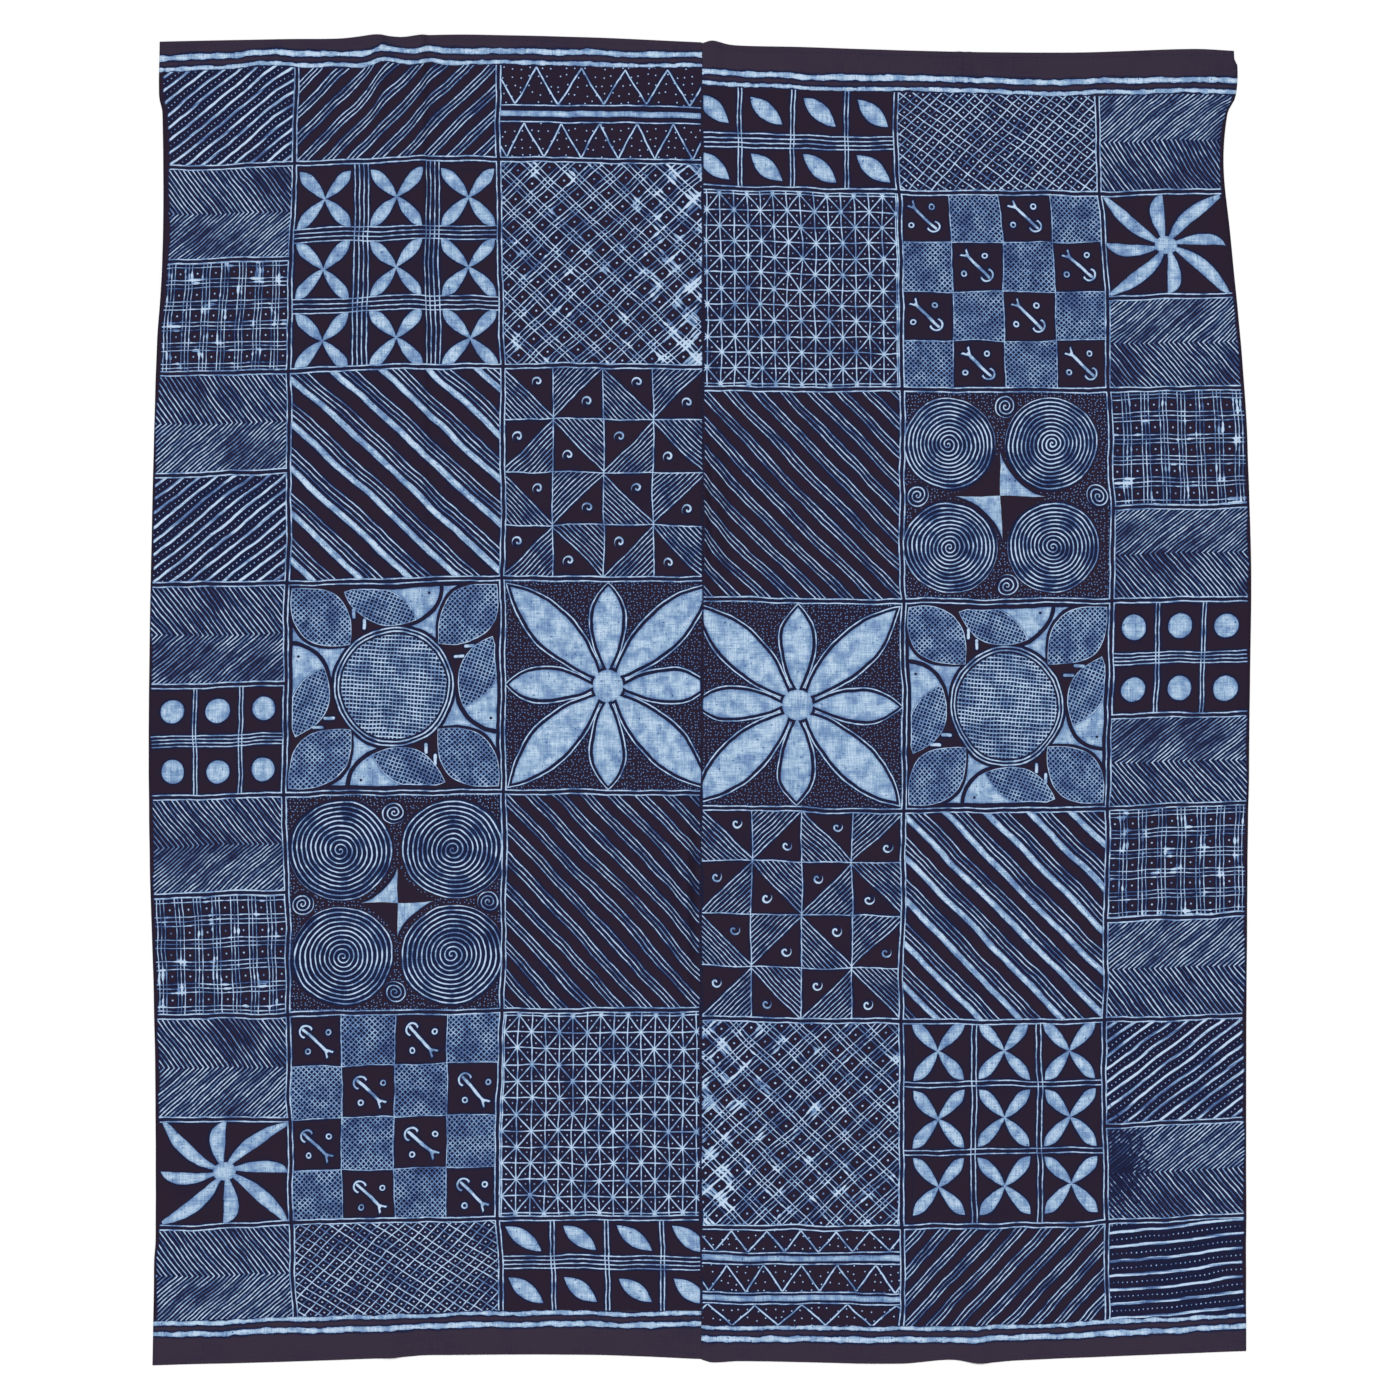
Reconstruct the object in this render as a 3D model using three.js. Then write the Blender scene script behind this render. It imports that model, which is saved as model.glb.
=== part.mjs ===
// Indigo wrapper cloth, laid out flat: two lengths of cotton shirting sewn side by side.
// Millimetres, +Z up, +Y along the seam, origin on the surface under the middle of the cloth.
// Each panel is a thin closed sheet that lies flat on the surface and lifts off it only in
// its low storage creases, edge waves and the puckers beside the seam.
import * as THREE from "three";

// Driving dimensions
const PANEL_WIDTH = 820;
const SHEET_THICKNESS = 1.5;
const SEAM_GAP = 0.3;
const PANEL_COLOUR = 0x2d2132;
const PANEL_ROUGHNESS = 0.92;

// Outline of the laid cloth: each row is a point on that side, and the side runs smoothly between them
const SEAM_LINE = [
  { y: -1000, x: 2 },
  { y: -330, x: 1 },
  { y: 290, x: 5 },
  { y: 1000, x: 3 },
];

const LEFT_EDGE = [
  { y: -997, x: -821 },
  { y: -840, x: -818 },
  { y: -810, x: -816 },
  { y: -480, x: -818 },
  { y: -250, x: -825 },
  { y: -35, x: -826.5 },
  { y: 210, x: -823 },
  { y: 540, x: -814 },
  { y: 650, x: -806 },
  { y: 880, x: -806 },
  { y: 905, x: -811 },
  { y: 997, x: -810 },
];

const RIGHT_EDGE = [
  { y: -997, x: 819 },
  { y: -600, x: 819 },
  { y: -250, x: 821 },
  { y: 50, x: 825 },
  { y: 210, x: 826.2 },
  { y: 470, x: 816 },
  { y: 700, x: 795 },
  { y: 800, x: 785 },
  { y: 880, x: 791 },
  { y: 905, x: 803 },
  { y: 950, x: 806 },
  { y: 962, x: 801 },
  { y: 997, x: 801 },
];

const LEFT_TOP = [
  { x: -812, y: 987 },
  { x: -630, y: 991 },
  { x: -540, y: 992 },
  { x: -487, y: 997 },
  { x: -447, y: 994 },
  { x: -403, y: 997 },
  { x: -330, y: 997.5 },
  { x: -150, y: 993 },
  { x: 3, y: 986 },
];

const RIGHT_TOP = [
  { x: 3, y: 985 },
  { x: 18, y: 988 },
  { x: 50, y: 982 },
  { x: 150, y: 979 },
  { x: 380, y: 972 },
  { x: 570, y: 971 },
  { x: 740, y: 976 },
  { x: 802, y: 973 },
];

const LEFT_BOTTOM = [
  { x: -821, y: -997.5 },
  { x: -620, y: -992 },
  { x: -462, y: -986 },
  { x: -405, y: -982 },
  { x: -150, y: -982 },
  { x: 3, y: -988 },
];

const RIGHT_BOTTOM = [
  { x: 3, y: -989 },
  { x: 18, y: -993 },
  { x: 60, y: -991 },
  { x: 300, y: -995 },
  { x: 375, y: -989 },
  { x: 420, y: -994 },
  { x: 475, y: -990 },
  { x: 819, y: -976 },
];

// Folds that run up the cloth. "off" is counted from the seam or from the outer edge,
// "run" and "spread" are half the length and half the width, and "lift" is the height.
const LEFT_FOLDS = [
  { name: "storage crease", from: "seam", off: 436, y: 800, run: 610, spread: 40, lift: 3.5 },
  { name: "first ripple at the top", from: "seam", off: 491, y: 997, run: 190, spread: 30, lift: 5 },
  { name: "second ripple at the top", from: "seam", off: 407, y: 997, run: 170, spread: 28, lift: 5 },
  { name: "crease at the bottom", from: "seam", off: 464, y: -990, run: 180, spread: 32, lift: 4 },
  { name: "pucker at the seam, lower", from: "seam", off: 24, y: -308, run: 200, spread: 24, lift: 7 },
  { name: "pucker at the seam, upper", from: "seam", off: 22, y: 395, run: 140, spread: 22, lift: 3 },
];

const RIGHT_FOLDS = [
  { name: "storage crease", from: "seam", off: 399, y: 900, run: 500, spread: 40, lift: 3.5 },
  { name: "crease at the bottom", from: "seam", off: 418, y: -990, run: 280, spread: 34, lift: 5 },
  { name: "pucker at the seam, upper", from: "seam", off: 22, y: 285, run: 200, spread: 22, lift: 7 },
  { name: "pucker at the seam, top", from: "seam", off: 18, y: 990, run: 130, spread: 18, lift: 4 },
  { name: "rolled edge", from: "edge", off: 16, y: 720, run: 230, spread: 16, lift: 5 },
];

// Waves that run in from the outer edge
const LEFT_WAVES = [
  { y: 640, run: 120, spread: 60, lift: 4 },
  { y: -480, run: 100, spread: 60, lift: 3 },
  { y: -830, run: 90, spread: 55, lift: 3 },
];

const RIGHT_WAVES = [
  { y: 420, run: 110, spread: 70, lift: 3 },
  { y: -120, run: 90, spread: 60, lift: 3 },
  { y: -760, run: 100, spread: 60, lift: 3 },
];

// Spacing of the mesh lines: columns counted out from the seam, rows counted down from the top edge
const COLUMN_STEPS = [
  { until: 48, step: 8 },
  { until: 360, step: 62 },
  { until: 525, step: 18 },
  { until: 760, step: 78 },
  { until: 816, step: 14 },
];

const ROW_STEPS = [
  { until: 110, step: 18 },
  { until: 1980, step: 58 },
];

// A smooth line through a table of points: the value of column "out" where column "along" is at
function lineThrough(table, along, out, at) {
  const last = table.length - 1;
  const clamped = Math.min(Math.max(at, table[0][along]), table[last][along]);
  let i = 0;
  while (i < last - 1 && clamped > table[i + 1][along]) i += 1;
  const span = table[i + 1][along] - table[i][along];
  const t = (clamped - table[i][along]) / span;
  const slopeAt = (k) => {
    const a = table[Math.max(k - 1, 0)];
    const b = table[Math.min(k + 1, last)];
    return (b[out] - a[out]) / (b[along] - a[along]);
  };
  const rise = t * t * (3 - 2 * t);
  const lead = t * (1 - t) * (1 - t);
  const tail = t * t * (t - 1);
  const from = table[i][out];
  const to = table[i + 1][out];
  return from + (to - from) * rise + span * (slopeAt(i) * lead + slopeAt(i + 1) * tail);
}

// Fractions from 0 to 1 for mesh lines that are laid out by a table of steps
function meshLines(steps) {
  const places = [0];
  let start = 0;
  for (const { until, step } of steps) {
    const count = Math.max(Math.round((until - start) / step), 1);
    for (let k = 1; k <= count; k += 1) places.push(start + ((until - start) * k) / count);
    start = until;
  }
  return places.map((place) => place / start);
}

// A soft hump that is 1 at its middle and exactly 0 from its rim outwards
function hump(across, spread) {
  const ratio = Math.abs(across) / spread;
  return ratio < 1 ? Math.cos((ratio * Math.PI) / 2) ** 2 : 0;
}

// Height of the underside of the cloth above the surface
function liftAt(panel, x, y) {
  const seam = Math.abs(x - lineThrough(SEAM_LINE, "y", "x", y));
  const edge = Math.abs(lineThrough(panel.edge, "y", "x", y) - x);
  let lift = 0;
  for (const fold of panel.folds) {
    const distance = fold.from === "seam" ? seam : edge;
    lift += fold.lift * hump(distance - fold.off, fold.spread) * hump(y - fold.y, fold.run);
  }
  for (const wave of panel.waves) {
    lift += wave.lift * hump(y - wave.y, wave.spread) * hump(edge, wave.run);
  }
  return lift;
}

// Where a mesh line crosses another on the laid panel, in plan
function placeOnPanel(panel, column, row) {
  const evenX = panel.side * PANEL_WIDTH * column;
  const top = lineThrough(panel.top, "x", "y", evenX);
  const bottom = lineThrough(panel.bottom, "x", "y", evenX);
  const y = top + (bottom - top) * row;
  const seam = lineThrough(SEAM_LINE, "y", "x", y) + (panel.side * SEAM_GAP) / 2;
  const edge = lineThrough(panel.edge, "y", "x", y);
  return { x: seam + (edge - seam) * column, y };
}

// A closed sheet: an upper and a lower skin on the same mesh lines, joined round the rim
function panelGeometry(panel) {
  const columns = meshLines(COLUMN_STEPS);
  if (panel.side < 0) columns.reverse();
  const rows = meshLines(ROW_STEPS).reverse();
  const wide = columns.length;
  const skin = wide * rows.length;
  const positions = [];
  for (const thickness of [SHEET_THICKNESS, 0]) {
    for (const row of rows) {
      for (const column of columns) {
        const { x, y } = placeOnPanel(panel, column, row);
        positions.push(x, y, liftAt(panel, x, y) + thickness);
      }
    }
  }
  const triangles = [];
  const quad = (a, b, c, d) => triangles.push(a, b, c, a, c, d);
  for (let j = 0; j < rows.length - 1; j += 1) {
    for (let i = 0; i < wide - 1; i += 1) {
      const a = j * wide + i;
      quad(a, a + 1, a + 1 + wide, a + wide);
      quad(skin + a, skin + a + wide, skin + a + 1 + wide, skin + a + 1);
    }
  }
  const rim = [];
  for (let i = 0; i < wide - 1; i += 1) rim.push(i);
  for (let j = 0; j < rows.length - 1; j += 1) rim.push(j * wide + wide - 1);
  for (let i = wide - 1; i > 0; i -= 1) rim.push(skin - wide + i);
  for (let j = rows.length - 1; j > 0; j -= 1) rim.push(j * wide);
  rim.forEach((a, k) => {
    const b = rim[(k + 1) % rim.length];
    quad(skin + a, skin + b, b, a);
  });
  const geometry = new THREE.BufferGeometry();
  geometry.setAttribute("position", new THREE.Float32BufferAttribute(positions, 3));
  geometry.setIndex(triangles);
  geometry.computeVertexNormals();
  return geometry;
}

function clothPanel(panel) {
  const material = new THREE.MeshStandardMaterial({
    color: PANEL_COLOUR,
    roughness: PANEL_ROUGHNESS,
    metalness: 0,
  });
  const mesh = new THREE.Mesh(panelGeometry(panel), material);
  mesh.name = panel.name;
  return mesh;
}

const PANELS = [
  {
    name: "panel_left",
    side: -1,
    edge: LEFT_EDGE,
    top: LEFT_TOP,
    bottom: LEFT_BOTTOM,
    folds: LEFT_FOLDS,
    waves: LEFT_WAVES,
  },
  {
    name: "panel_right",
    side: 1,
    edge: RIGHT_EDGE,
    top: RIGHT_TOP,
    bottom: RIGHT_BOTTOM,
    folds: RIGHT_FOLDS,
    waves: RIGHT_WAVES,
  },
];

const cloth = new THREE.Group();
for (const panel of PANELS) cloth.add(clothPanel(panel));

export default cloth;
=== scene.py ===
import math

import bpy
import numpy as np
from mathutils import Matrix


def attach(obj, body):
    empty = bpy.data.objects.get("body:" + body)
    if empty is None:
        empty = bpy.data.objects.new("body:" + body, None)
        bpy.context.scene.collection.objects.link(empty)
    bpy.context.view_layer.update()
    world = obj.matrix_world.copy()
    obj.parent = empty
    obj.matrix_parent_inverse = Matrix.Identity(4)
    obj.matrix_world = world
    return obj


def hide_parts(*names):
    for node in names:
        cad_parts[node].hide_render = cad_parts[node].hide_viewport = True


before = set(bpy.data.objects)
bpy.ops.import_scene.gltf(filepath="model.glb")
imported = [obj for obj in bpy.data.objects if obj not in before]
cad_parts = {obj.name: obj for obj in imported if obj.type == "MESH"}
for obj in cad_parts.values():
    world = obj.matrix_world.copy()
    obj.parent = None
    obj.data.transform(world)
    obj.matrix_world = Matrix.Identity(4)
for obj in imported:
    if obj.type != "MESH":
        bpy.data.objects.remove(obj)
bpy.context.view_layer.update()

# The view: the cloth lies face up on a pale studio floor and is seen from straight above.
# A long lens keeps its edges straight, and a broad soft light falls from above its top end.
VIEW_WIDTH = 2.1
LENS = 85.0
SENSOR = 36.0
FLOOR_SIZE = 400.0
FLOOR_DROP = 0.0006
FLOOR_WHITE = 0.96
SKY_WHITE = (1.0, 1.0, 1.0, 1.0)
SKY_STRENGTH = 0.3
LAMP_STRENGTH = 2.6
LAMP_SOFTNESS = math.radians(20.0)
LAMP_PLACE = (-0.5, 1.6, 5.4)

studio = bpy.context.scene
studio.view_settings.view_transform = "Standard"

camera_data = bpy.data.cameras.new("view_from_above")
camera_data.lens = LENS
camera_data.sensor_width = SENSOR
camera = bpy.data.objects.new("view_from_above", camera_data)
camera.location = (0.0, 0.0, VIEW_WIDTH * LENS / SENSOR)
studio.collection.objects.link(camera)
studio.camera = camera

sky = bpy.data.worlds.new("soft_sky")
sky.use_nodes = True
sky_light = sky.node_tree.nodes["Background"]
sky_light.inputs["Color"].default_value = SKY_WHITE
sky_light.inputs["Strength"].default_value = SKY_STRENGTH
studio.world = sky

lamp_data = bpy.data.lights.new("softbox", "SUN")
lamp_data.energy = LAMP_STRENGTH
lamp_data.angle = LAMP_SOFTNESS
lamp = bpy.data.objects.new("softbox", lamp_data)
lamp.location = LAMP_PLACE
lamp.rotation_euler = (-lamp.location).to_track_quat("-Z", "Y").to_euler()
studio.collection.objects.link(lamp)

floor_half = FLOOR_SIZE / 2
floor_mesh = bpy.data.meshes.new("floor")
floor_corners = [
    (-floor_half, -floor_half, -FLOOR_DROP),
    (floor_half, -floor_half, -FLOOR_DROP),
    (floor_half, floor_half, -FLOOR_DROP),
    (-floor_half, floor_half, -FLOOR_DROP),
]
floor_mesh.from_pydata(floor_corners, [], [(0, 1, 2, 3)])
floor = bpy.data.objects.new("floor", floor_mesh)
floor_paint = bpy.data.materials.new("floor_paint")
floor_paint.use_nodes = True
floor_shader = floor_paint.node_tree.nodes["Principled BSDF"]
floor_shader.inputs["Base Color"].default_value = (FLOOR_WHITE, FLOOR_WHITE, FLOOR_WHITE, 1.0)
floor_shader.inputs["Roughness"].default_value = 1.0
floor_shader.inputs["Specular IOR Level"].default_value = 0.0
floor_mesh.materials.append(floor_paint)
studio.collection.objects.link(floor)

# The left length: one width of cotton shirting, starch-painted by hand in framed squares and dyed
# in indigo. It is a thin closed sheet that follows the low storage creases, the waves of its outer
# edge and the puckers beside the seam. Its sizes are in millimetres, x to the right and y upwards.
MM = 0.001
CLOTH_THICKNESS = 1.0
SEAM_GAP = 0.04
MESH_PITCH = 7.2
BAND_ROWS = 14
BORDER_STEPS = [0.0, 0.03, 0.17, 0.2, 0.32, 0.46, 0.6, 0.74, 0.87, 1.0]
SEAM_STEPS = [1.0, 2.6, 5.0, 9.4, 12.0, 17.0, 19.4]
SEAM_DIP = 0.55
SEAM_DIP_SPREAD = 2.2
HEM_DEPTH = 9.0
HEM_RISE = 0.5
HEM_SLOPE = 2.0
SEAM_LINE = [(-1000, 2), (-330, 1), (290, 5), (1000, 3)]

# A fold gives its name, what it lies beside and how far off, its middle, half its length, its spread
# away from that side and towards it, and its rise; a wave gives its middle, its reach inwards from
# the edge, its spread and its rise. Upright lines are (y, x) places and cross lines are (x, y) places.
LEFT_PANEL = {
    "name": "panel_left",
    "side": -1,
    "edge": [
        (-997, -821), (-840, -818), (-810, -816), (-480, -818), (-250, -825), (-35, -826.5),
        (210, -823), (540, -814), (650, -806), (880, -806), (905, -811), (997, -810),
    ],
    "selvedge": [(-997, 3), (-560, 5), (-300, 4), (0, 3), (400, 2), (640, 8), (860, 7), (997, 3)],
    "side_line": [
        (-916, -607.5), (-781, -614), (-541, -616.5), (-301, -619), (-196, -624), (-121, -623),
        (89, -621), (299, -617), (599, -615), (779, -609), (944, -604.5),
    ],
    "middle_line": [
        (-886, -298.5), (-730, -303), (-547, -300), (-436, -297), (-199, -293), (-106, -295),
        (119, -295.5), (460, -296), (704, -301.5), (802, -303), (944, -303),
    ],
    "rows": [
        [(-812, 987), (-630, 991), (-540, 992), (-487, 997), (-447, 994), (-403, 997),
         (-330, 997.5), (-150, 993), (3, 986)],
        [(-810, 941), (-712, 945), (-634, 951), (-603, 948), (-502, 948), (-474, 957), (-442, 951),
         (-424, 950), (-404, 956), (-380, 952), (-300, 952), (-51, 947), (3, 946)],
        [(-802, 798), (-697, 801), (-607, 805), (-510, 808), (-412, 812), (-300, 810), (3, 807)],
        [(-802, 656), (-615, 662), (-300, 664), (3, 662)],
        [(-810, 490), (-697, 491), (-615, 494), (-510, 498), (-300, 501), (3, 499.5)],
        [(-817, 336), (-618, 343), (-300, 346), (3, 344)],
        [(-822, 172), (-615, 175.5), (-300, 182), (3, 182)],
        [(-823, 20), (-625, 25), (-300, 27), (3, 27)],
        [(-825, -148), (-622, -141.5), (-300, -138), (3, -140)],
        [(-823, -295), (-622, -287), (-300, -284), (3, -286)],
        [(-817, -476), (-621, -472), (-300, -466), (3, -465)],
        [(-814, -630), (-621, -627), (-300, -622), (3, -621)],
        [(-814, -792), (-618, -785), (-300, -777), (3, -778)],
        [(-817, -932), (-618, -925), (-420, -919), (-300, -915), (3, -916)],
        [(-821, -997.5), (-620, -992), (-462, -986), (-405, -982), (-150, -982), (3, -988)],
    ],
    "folds": [
        ("storage crease", "seam", 420, 700, 900, 40, 12, 7),
        ("lesser crease beside it", "seam", 450, 640, 330, 22, 11, 4),
        ("first ripple at the top", "seam", 483, 997, 300, 32, 15, 6.5),
        ("second ripple at the top", "seam", 420, 997, 220, 26, 12, 3),
        ("crease at the bottom", "seam", 464, -990, 180, 32, 18, 4),
        ("pucker at the seam, lower", "seam", 23, -290, 220, 30, 19, 15),
        ("pucker at the seam, upper", "seam", 16, 430, 70, 20, 14, 4),
    ],
    "waves": [(640, 120, 60, 4), (-480, 100, 60, 3), (-830, 90, 55, 3)],
    "fine_columns": [0.43, 0.4535, 0.4767, 0.5233, 0.5465, 0.616, 0.6395, 0.663],
    "side_motifs": [
        "dotted_diagonals", "herringbone", "plaid", "herringbone", "dotted_diagonals", "herringbone",
        "discs", "herringbone", "plaid", "herringbone", "twisted_flower", "herringbone",
    ],
    "middle_motifs": [
        "oblique_triples", "four_petals_wide_bands", "broad_diagonals_left", "sunflower_and_birds",
        "spirals_left", "checkerboard", "trellis",
    ],
    "seam_motifs": [
        "zigzag_two_rows", "diagonal_lattice", "pinwheels", "eight_petal_flower",
        "narrow_triples", "star_lattice", "seeds",
    ],
}


def smooth_line(points):
    """A smooth line through given points, as a function of an array of places."""
    places = np.array([point[0] for point in points], float)
    values = np.array([point[1] for point in points], float)
    last = len(points) - 1
    before = np.maximum(np.arange(last + 1) - 1, 0)
    after = np.minimum(np.arange(last + 1) + 1, last)
    slopes = (values[after] - values[before]) / (places[after] - places[before])

    def value_at(place):
        inside = np.clip(place, places[0], places[-1])
        start = np.clip(np.searchsorted(places, inside, side="left") - 1, 0, last - 1)
        span = places[start + 1] - places[start]
        t = (inside - places[start]) / span
        rise = t * t * (3 - 2 * t)
        lead = slopes[start] * t * (1 - t) ** 2
        tail = slopes[start + 1] * t * t * (t - 1)
        return values[start] + (values[start + 1] - values[start]) * rise + span * (lead + tail)

    return value_at


def hump(across, spread):
    """A soft hump that is 1 at its middle and 0 from its rim outwards."""
    ratio = np.minimum(np.abs(across) / spread, 1.0)
    return np.cos(ratio * math.pi / 2) ** 2


# Small slack undulations of hand-laid cotton: a few long waves in mixed directions
SLACK_WAVES = 16
SLACK_LENGTHS = (60.0, 240.0)
SLACK_HEIGHT = 0.16
SLACK_SUNK = 0.6
slack_random = np.random.default_rng(11)
slack_lengths = slack_random.uniform(*SLACK_LENGTHS, SLACK_WAVES)
slack_turns = slack_random.uniform(0.0, math.pi, SLACK_WAVES)
slack_starts = slack_random.uniform(0.0, 2 * math.pi, SLACK_WAVES)


def slack(x, y):
    """Height of the slack undulations, never below zero."""
    height = np.zeros_like(x)
    for length, turn, start in zip(slack_lengths, slack_turns, slack_starts):
        along = x * math.cos(turn) + y * math.sin(turn)
        height += SLACK_HEIGHT * (1 + np.sin(along * 2 * math.pi / length + start))
    return np.maximum(height - SLACK_SUNK * SLACK_HEIGHT * SLACK_WAVES, 0.0)


seam_line = smooth_line(SEAM_LINE)


def underside_height(panel, x, y):
    """Height of the underside above the floor: flat, but for its folds, edge waves and slack."""
    from_seam = np.abs(x - seam_line(y))
    from_edge = np.abs(smooth_line(panel["edge"])(y) - x)
    lift = slack(x, y)
    for name, side, off, middle, run, spread, lee, rise in panel["folds"]:
        past = (from_seam if side == "seam" else from_edge) - off
        lift = lift + rise * hump(past, np.where(past < 0, lee, spread)) * hump(y - middle, run)
    for middle, run, spread, rise in panel["waves"]:
        lift = lift + rise * hump(y - middle, spread) * hump(from_edge, run)
    return lift


def top_height(panel, x, y):
    """Height of the painted face: it dips into the seam and is doubled along its hems."""
    from_seam = np.abs(x - seam_line(y))
    from_hem = np.minimum(smooth_line(panel["rows"][0])(x) - y, y - smooth_line(panel["rows"][-1])(x))
    hem = np.clip((HEM_DEPTH - from_hem) / HEM_SLOPE + 0.5, 0.0, 1.0)
    dip = SEAM_DIP * np.exp(-((from_seam / SEAM_DIP_SPREAD) ** 2))
    return underside_height(panel, x, y) + CLOTH_THICKNESS + HEM_RISE * hem - dip


# Each painted square has its own coordinates, in millimetres from its middle. On the right length
# they are turned half round, as the two lengths were painted alike and one was sewn on upside down.
STRIP_WIDTHS = {"side": 204.0, "middle": 312.0, "seam": 299.0}
STRIP_ORDER = ["side", "middle", "seam"]
MAIN_ROW_SPANS = [(1, 2), (2, 4), (4, 6), (6, 8), (8, 10), (10, 12), (12, 13)]
OPEN_MARGIN = 7.0
SETTLING_ROUNDS = 6
BAKE_SPLIT = 7
BAKE_RIM = 0.005
BAKE_SECOND_HALF = 0.51
BAKE_HALF_WIDTH = 0.485
BAKE_FACE_TOP = 0.995
BAKE_FACE_HEIGHT = 0.865
BAKE_UNDERSIDE_SIZE = (0.99, 0.09)
BAKE_EDGES_END = 0.99
BAKE_EDGES_HEIGHT = (0.104, 0.12)
BAKE_EDGE_SHARE = 0.9


def panel_lines(panel):
    """The panel's upright lines from left to right, and its cross lines from top to bottom."""
    seam = smooth_line([(y, x + panel["side"] * SEAM_GAP / 2) for y, x in SEAM_LINE])
    upright = [
        smooth_line(panel["edge"]),
        smooth_line(panel["side_line"]),
        smooth_line(panel["middle_line"]),
        seam,
    ]
    return upright[::-panel["side"]], [smooth_line(row) for row in panel["rows"]]


def mesh_places(panel, upright, cross):
    """Where the mesh lines cross in plan, and the strip and the band that each mesh step lies in."""
    strips = STRIP_ORDER[::-panel["side"]]
    columns = []
    for strip, kind in enumerate(strips):
        count = round(STRIP_WIDTHS[kind] / MESH_PITCH)
        columns += [(strip, step / count) for step in range(count)]
    columns.append((2, 1.0))
    for step in SEAM_STEPS:
        share = step / STRIP_WIDTHS["seam"]
        columns.append((2, 1.0 - share) if panel["side"] < 0 else (0, share))
    columns += [(strips.index("middle"), share) for share in panel["fine_columns"]]
    columns.sort()
    middle_x = (upright[0](0.0) + upright[3](0.0)) / 2
    rows = []
    for band in range(BAND_ROWS):
        if band == 0:
            shares = BORDER_STEPS[:-1]
        elif band == BAND_ROWS - 1:
            shares = [1.0 - share for share in BORDER_STEPS[:0:-1]]
        else:
            count = round((cross[band](middle_x) - cross[band + 1](middle_x)) / MESH_PITCH)
            shares = [step / count for step in range(count)]
        rows += [(band, share) for share in shares]
    rows.append((BAND_ROWS - 1, 1.0))
    x = np.zeros((len(rows), len(columns)))
    y = np.zeros_like(x)
    for settle in range(SETTLING_ROUNDS):
        for i, (strip, share) in enumerate(columns):
            x[:, i] = (1 - share) * upright[strip](y[:, i]) + share * upright[strip + 1](y[:, i])
        for j, (band, share) in enumerate(rows):
            y[j] = (1 - share) * cross[band](x[j]) + share * cross[band + 1](x[j])
    strip_of = np.array([strip for strip, share in columns[:-1]])
    band_of = np.array([band for band, share in rows[:-1]])
    return x, y, strip_of, band_of


def corner_values(values):
    """Values at mesh crossings, given again for the four corners of every face, anticlockwise."""
    corners = [values[1:, :-1], values[1:, 1:], values[:-1, 1:], values[:-1, :-1]]
    return np.stack(corners, axis=2)


def squares_of(panel):
    """Every painted square: the kind of its strip, its first and last cross line, and its motif."""
    side_spans = [(line, line + 1) for line in range(1, BAND_ROWS - 1)]
    squares = []
    for kind, spans in (("side", side_spans), ("middle", MAIN_ROW_SPANS), ("seam", MAIN_ROW_SPANS)):
        for (first, last), motif in zip(spans, panel[kind + "_motifs"]):
            squares.append((kind, first, last, motif))
    return squares


def paint_layout(panel, cross, x, y, strip_of, band_of):
    """Each face's motif number, and each corner's place in its square, turned on the right panel.

    Places across a square are measured over the folds, as the cloth was painted before it was folded.
    """
    steps = np.hypot(np.diff(x, axis=1), np.diff(top_height(panel, x, y), axis=1))
    laid = np.concatenate([np.zeros((len(x), 1)), np.cumsum(steps, axis=1)], axis=1)
    motif_names = ["border", "underside"]
    motif_numbers = np.zeros((len(band_of), len(strip_of)), int)
    places = np.zeros((len(band_of), len(strip_of), 4, 2))
    selvedge = smooth_line(panel["selvedge"])(y)
    strips = STRIP_ORDER[::-panel["side"]]
    for chosen, inner, outward in ((band_of == 0, 1, 1), (band_of == BAND_ROWS - 1, BAND_ROWS - 1, -1)):
        out = outward * (y - cross[inner](x))
        places[chosen] = np.stack([corner_values(x), corner_values(out)], axis=3)[chosen]
    for kind, first, last, motif in squares_of(panel):
        if motif not in motif_names:
            motif_names.append(motif)
        strip = strips.index(kind)
        columns = np.flatnonzero(strip_of == strip)
        left = laid[:, columns[0], None]
        right = laid[:, columns[-1] + 1, None]
        top_margin = 0.0
        bottom_margin = 0.0
        if kind == "side":
            left = left + (selvedge if panel["side"] < 0 else 0.0)
            right = right - (selvedge if panel["side"] > 0 else 0.0)
            top_margin = OPEN_MARGIN if first == 1 else 0.0
            bottom_margin = OPEN_MARGIN if last == BAND_ROWS - 1 else 0.0
        width = STRIP_WIDTHS[kind]
        height = MOTIFS[motif][1]
        across = (laid - left) / (right - left)
        upward = (y - cross[last](x)) / (cross[first](x) - cross[last](x))
        u = (across - 0.5) * width
        v = bottom_margin - height / 2 + upward * (height - top_margin - bottom_margin)
        chosen = np.ix_((band_of >= first) & (band_of < last), strip_of == strip)
        turned = np.stack([corner_values(u), corner_values(v)], axis=3) * -panel["side"]
        places[chosen] = turned[chosen]
        motif_numbers[chosen] = motif_names.index(motif)
    return motif_names, motif_numbers, places


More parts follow.
